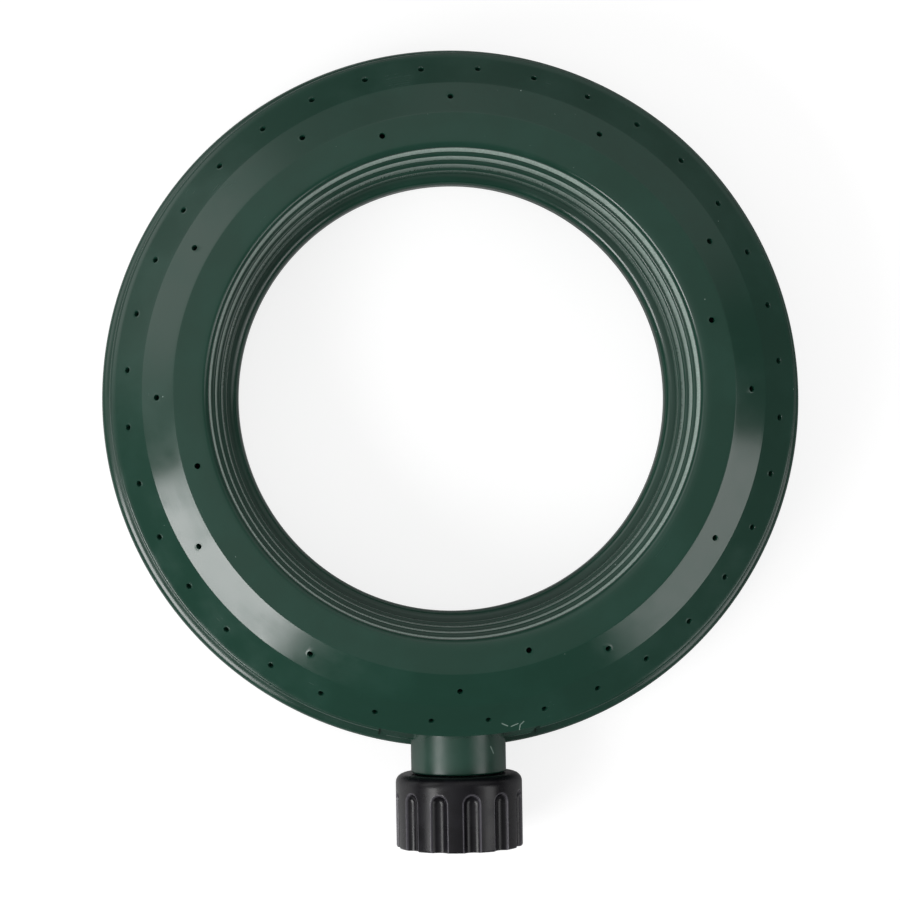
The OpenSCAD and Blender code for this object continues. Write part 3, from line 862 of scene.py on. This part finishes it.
def grip_and_thread(angle, radius, along):
    """Radius of the nut with its flutes outside and its thread inside."""
    off = off_flute(angle)
    above = np.minimum(along - flute_top, 0)
    reach = FLUTE_ROUND ** 2 - (flute_axis_r * np.sin(off)) ** 2 - above ** 2
    hollow = flute_axis_r * np.cos(off) - np.sqrt(np.maximum(reach, 0))
    blend = np.maximum(FLUTE_EDGE - np.abs(radius - hollow), 0) / FLUTE_EDGE
    fluted = np.minimum(radius, hollow) - FLUTE_EDGE / 4 * blend ** 2
    turns = (along - thread_start) / THREAD_PITCH - angle / math.tau
    groove = np.clip(THREAD_FLANK * (1 - np.abs(2 * (turns % 1) - 1)) - THREAD_FLAT, 0, 1)
    fade = np.clip(np.minimum(along - thread_start, thread_end - along) / THREAD_PITCH, 0, 1)
    return fluted + THREAD_DEPTH * groove * fade * np.isclose(radius, thread_r)


print(FLUTE_N, "flutes, and a thread with a pitch of", round(THREAD_PITCH, 2), "mm")

# %% [markdown]
# Even columns would have to be very many to follow the narrow edges of the flutes. So the columns crowd at the two
# edges of each flute and stand further apart between them.

# %% Hose nut: turning
RUN_CLEAR = 0.08
NUT_BACK, BACK_ROUND = 3.2, 0.3
SHOULDER_ROUND, MOUTH_ROUND, CHAMFER_ROUND = 2.5, 0.6, 0.2
GROOVE_R = 13
NUT_RUN = 0.36
# Columns on each stretch of a flute: land, edge, hollow, edge, land
COLUMN_COUNTS = (6, 10, 12, 10, 6)

edge_at = math.acos((nut_r ** 2 + flute_axis_r ** 2 - FLUTE_ROUND ** 2) / (2 * nut_r * flute_axis_r))
edge_w = 2 * FLUTE_EDGE / nut_r
stops = [-apart / 2, -edge_at - edge_w, -edge_at + edge_w, edge_at - edge_w, edge_at + edge_w, apart / 2]
one_flute = np.concatenate([np.linspace(a, b, count, endpoint=False)
                            for a, b, count in zip(stops, stops[1:], COLUMN_COUNTS)])
nut_angles = np.concatenate([first_flute + k * apart + one_flute for k in range(FLUTE_N)])

hole_r = STUB_R + RUN_CLEAR
nut_corners = [
    (hole_r, nut_start, BACK_ROUND), (nut_r, nut_start, SHOULDER_ROUND), (nut_r, nut_end, MOUTH_ROUND),
    (thread_r + MOUTH_CHAMFER, nut_end, CHAMFER_ROUND), (thread_r, thread_end, 0), (thread_r, thread_start, 0),
    (GROOVE_R, thread_start, 0), (GROOVE_R, nut_start + NUT_BACK, 0), (hole_r, nut_start + NUT_BACK, 0),
]
nut = turned("hose_nut", outline(nut_corners, longest=NUT_RUN), nut_angles, grip_and_thread, [ALONG_NECK])
print("nut turned in", len(nut_angles), "columns")

# %% [markdown]
# The rounded edges of the flutes catch the light in thin pale lines. Here that is a painted highlight: a paler colour
# along each edge. Blender can guess such edges from the bend of the mesh, but the guess changes with the size of its
# faces. Here each point of the nut gets a number for how near it lies to a flute's edge, and the material reads that
# number by its name.

# %% Hose nut: painted edge highlights
# How far the painted highlight reaches on each side of an edge, in mm
EDGE_HIGHLIGHT_W = 0.35

x, along, z = (np.array([v.co for v in nut.data.vertices]) / MM - (0, 0, neck_z)).T
off = off_flute(np.arctan2(z, x))
off_axis = np.hypot(flute_axis_r * np.sin(off), np.minimum(-along - flute_top, 0))
off_edge = np.abs(off_axis - flute_axis_r * math.sin(edge_at))
outside = np.hypot(x, z) > nut_r - FLUTE_DEPTH / 2
painted_edge_highlight = np.clip(1 - off_edge / EDGE_HIGHLIGHT_W, 0, 1) * outside
nut.data.attributes.new("painted_edge_highlight", "FLOAT", "POINT").data.foreach_set("value", painted_edge_highlight)
dress(nut, black, "coupling", "coupling_nut")
# Counts the points that carry the painted edge highlight
print(np.count_nonzero(painted_edge_highlight), "points of the nut are worn")

# %% [markdown]
# ## Hose washer
#
# A flat ring of rubber lies in the nut's groove, where the hose end presses on it. It shows only to someone who
# looks into the nut, so a plain ring would pass. Its edges are turned a little round, as a punched rubber ring's are.

# %% Hose washer
WASHER_HOLE_R = 7.6
WASHER_ROUND = 0.35
WASHER_COLUMNS = 120

washer_corners = [(WASHER_HOLE_R, washer_start, WASHER_ROUND), (washer_r, washer_start, WASHER_ROUND),
                  (washer_r, washer_end, WASHER_ROUND), (WASHER_HOLE_R, washer_end, WASHER_ROUND)]
washer = turned("flat_washer", outline(washer_corners, longest=1), WASHER_COLUMNS, places=[ALONG_NECK])
dress(washer, rubber, "coupling", "hose_washer")
